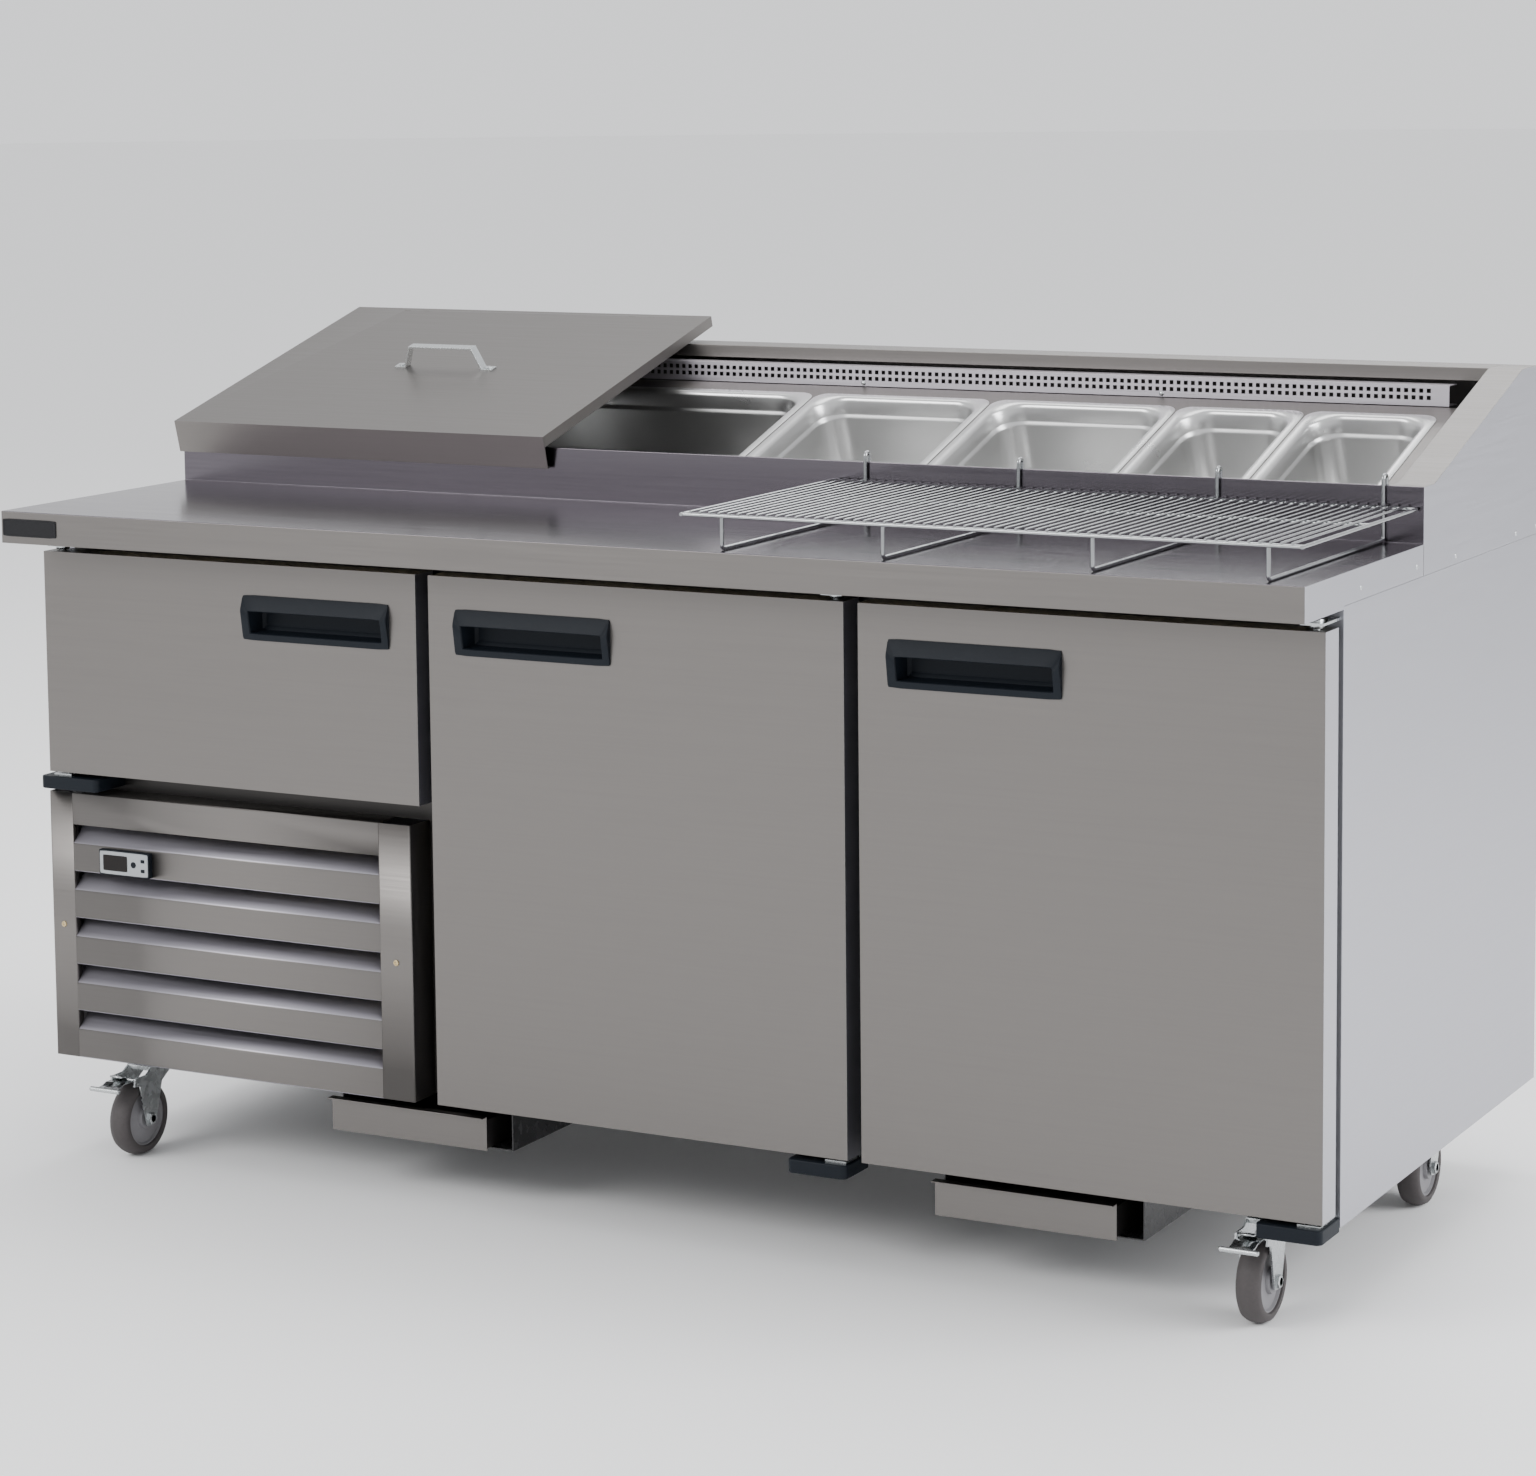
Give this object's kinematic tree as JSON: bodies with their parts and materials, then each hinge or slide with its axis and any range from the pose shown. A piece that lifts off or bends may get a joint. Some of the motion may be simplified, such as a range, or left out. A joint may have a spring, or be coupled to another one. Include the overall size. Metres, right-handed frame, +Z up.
{
  "type": "sandwich prep table",
  "caption": "Refrigerated sandwich prep table on castors with doors, sloped pan well, lid, wire rack and louvred machine bay.",
  "frame": {"origin": "on the floor, below the middle of the cabinet's width and depth", "axes": "+X along the width to the viewer's right when facing the doors, +Y from the doors to the back, +Z up"},
  "size_m": [1.796, 0.864, 1.091],
  "materials": {
    "black_plastic": "moulded ABS",
    "brushed_steel": "brushed stainless",
    "coil": "aluminium fins on copper",
    "compressor_black": "black enamel",
    "controller": "ABS case",
    "dark_duct": "dark perforated sheet",
    "fan_blades": "pressed aluminium",
    "foam": "polyurethane foam",
    "gasket": "magnetic PVC gasket",
    "liner": "stucco aluminium",
    "pan_steel": "bright pressed stainless",
    "side_steel": "fine brushed stainless",
    "tyre": "grey rubber",
    "wire": "bright plated wire",
    "worktop_steel": "polished brushed stainless",
    "zinc": "zinc plated"
  },
  "bodies": {
    "cabinet": {"side_panel_left": "side_steel", "side_panel_right": "side_steel", "back_panel": "side_steel", "base_panel": "brushed_steel", "front_frame": "brushed_steel", "insulation": "foam", "inner_liner": "liner", "worktop": "worktop_steel", "hood_sides": "side_steel", "rear_top_bar": "brushed_steel", "pan_frame": "brushed_steel", "divider_bars": "brushed_steel", "air_duct": "dark_duct", "screws_and_rivets": "zinc", "lid_hinges": "zinc", "hinge_pins": "zinc", "hinge_blocks": "black_plastic", "louvre_grille": "brushed_steel", "controller": "controller", "tray_housings": "compressor_black", "castor_plates": "zinc", "compressor": "compressor_black", "condenser": "coil", "condenser_fan_motor": "compressor_black", "evaporator": "coil", "wire_shelves": "wire"},
    "lid": {"lid_panel": "brushed_steel", "lid_handle": "zinc"},
    "half_door": {"half_door_panel": "brushed_steel", "half_door_inner": "liner", "half_door_gasket": "gasket", "half_door_handle": "black_plastic"},
    "middle_door": {"middle_door_panel": "brushed_steel", "middle_door_inner": "liner", "middle_door_gasket": "gasket", "middle_door_handle": "black_plastic"},
    "right_door": {"right_door_panel": "brushed_steel", "right_door_inner": "liner", "right_door_gasket": "gasket", "right_door_handle": "black_plastic"},
    "wire_rack": {"wire_rack": "wire"},
    "drip_tray_left": {"drip_tray_left": "brushed_steel"},
    "drip_tray_right": {"drip_tray_right": "brushed_steel"},
    "condenser_fan": {"condenser_fan": "fan_blades"},
    "third_pan_left": {"third_pan_left": "pan_steel"},
    "full_pan": {"full_pan": "pan_steel"},
    "half_pan_left": {"half_pan_left": "pan_steel"},
    "half_pan_right": {"half_pan_right": "pan_steel"},
    "third_pan_middle": {"third_pan_middle": "pan_steel"},
    "third_pan_right": {"third_pan_right": "pan_steel"},
    "castor_front_left": {"castor_fork_front_left": "zinc"},
    "wheel_front_left": {"castor_wheel_front_left": "tyre"},
    "brake_front_left": {"brake_pedal_front_left": "zinc"},
    "castor_front_right": {"castor_fork_front_right": "zinc"},
    "wheel_front_right": {"castor_wheel_front_right": "tyre"},
    "brake_front_right": {"brake_pedal_front_right": "zinc"},
    "castor_rear_left": {"castor_fork_rear_left": "zinc"},
    "wheel_rear_left": {"castor_wheel_rear_left": "tyre"},
    "castor_rear_right": {"castor_fork_rear_right": "zinc"},
    "wheel_rear_right": {"castor_wheel_rear_right": "tyre"}
  },
  "joints": [
    {"name": "half_door_hinge", "type": "hinge", "parent": "cabinet", "child": "half_door", "pos_m": [-0.866, -0.345, 0.671], "axis": [0, 0, -1], "range_deg": [0, 100]},
    {"name": "middle_door_hinge", "type": "hinge", "parent": "cabinet", "child": "middle_door", "pos_m": [0.2784, -0.345, 0.48], "axis": [0, 0, 1], "range_deg": [0, 100]},
    {"name": "right_door_hinge", "type": "hinge", "parent": "cabinet", "child": "right_door", "pos_m": [0.8781, -0.345, 0.48], "axis": [0, 0, 1], "range_deg": [0, 100]},
    {"name": "lid_hinge", "type": "hinge", "parent": "cabinet", "child": "lid", "pos_m": [-0.5995, 0.405, 1.064], "axis": [-1, 0, 0], "range_deg": [0, 80]},
    {"name": "third_pan_left_lift", "type": "slide", "parent": "cabinet", "child": "third_pan_left", "axis": [0, 0, 1], "range_m": [0, 0.015]},
    {"name": "full_pan_lift", "type": "slide", "parent": "cabinet", "child": "full_pan", "axis": [0, 0, 1], "range_m": [0, 0.015]},
    {"name": "half_pan_left_lift", "type": "slide", "parent": "cabinet", "child": "half_pan_left", "axis": [0, 0, 1], "range_m": [0, 0.015]},
    {"name": "half_pan_right_lift", "type": "slide", "parent": "cabinet", "child": "half_pan_right", "axis": [0, 0, 1], "range_m": [0, 0.015]},
    {"name": "third_pan_middle_lift", "type": "slide", "parent": "cabinet", "child": "third_pan_middle", "axis": [0, 0, 1], "range_m": [0, 0.015]},
    {"name": "third_pan_right_lift", "type": "slide", "parent": "cabinet", "child": "third_pan_right", "axis": [0, 0, 1], "range_m": [0, 0.015]},
    {"name": "rack_lift", "type": "slide", "parent": "cabinet", "child": "wire_rack", "axis": [0, 0, 1], "range_m": [0, 0.12]},
    {"name": "drip_tray_left_slide", "type": "slide", "parent": "cabinet", "child": "drip_tray_left", "axis": [0, -1, 0], "range_m": [0, 0.18]},
    {"name": "drip_tray_right_slide", "type": "slide", "parent": "cabinet", "child": "drip_tray_right", "axis": [0, -1, 0], "range_m": [0, 0.18]},
    {"name": "castor_swivel_front_left", "type": "hinge", "parent": "cabinet", "child": "castor_front_left", "pos_m": [-0.8, -0.27, 0.115], "axis": [0, 0, 1], "continuous": true},
    {"name": "wheel_spin_front_left", "type": "hinge", "parent": "castor_front_left", "child": "wheel_front_left", "pos_m": [-0.8, -0.302, 0.05], "axis": [1, 0, 0], "continuous": true},
    {"name": "brake_front_left", "type": "hinge", "parent": "castor_front_left", "child": "brake_front_left", "pos_m": [-0.8, -0.328, 0.107], "axis": [1, 0, 0], "range_deg": [0, 18]},
    {"name": "castor_swivel_front_right", "type": "hinge", "parent": "cabinet", "child": "castor_front_right", "pos_m": [0.8, -0.27, 0.115], "axis": [0, 0, 1], "continuous": true},
    {"name": "wheel_spin_front_right", "type": "hinge", "parent": "castor_front_right", "child": "wheel_front_right", "pos_m": [0.8, -0.302, 0.05], "axis": [1, 0, 0], "continuous": true},
    {"name": "brake_front_right", "type": "hinge", "parent": "castor_front_right", "child": "brake_front_right", "pos_m": [0.8, -0.328, 0.107], "axis": [1, 0, 0], "range_deg": [0, 18]},
    {"name": "castor_swivel_rear_left", "type": "hinge", "parent": "cabinet", "child": "castor_rear_left", "pos_m": [-0.812, 0.255, 0.115], "axis": [0, 0, 1], "continuous": true},
    {"name": "wheel_spin_rear_left", "type": "hinge", "parent": "castor_rear_left", "child": "wheel_rear_left", "pos_m": [-0.812, 0.223, 0.05], "axis": [1, 0, 0], "continuous": true},
    {"name": "castor_swivel_rear_right", "type": "hinge", "parent": "cabinet", "child": "castor_rear_right", "pos_m": [0.812, 0.255, 0.115], "axis": [0, 0, 1], "continuous": true},
    {"name": "wheel_spin_rear_right", "type": "hinge", "parent": "castor_rear_right", "child": "wheel_rear_right", "pos_m": [0.812, 0.223, 0.05], "axis": [1, 0, 0], "continuous": true},
    {"name": "condenser_fan_spin", "type": "hinge", "parent": "cabinet", "child": "condenser_fan", "pos_m": [-0.64, -0.18, 0.32], "axis": [0, 1, 0], "continuous": true}
  ]
}
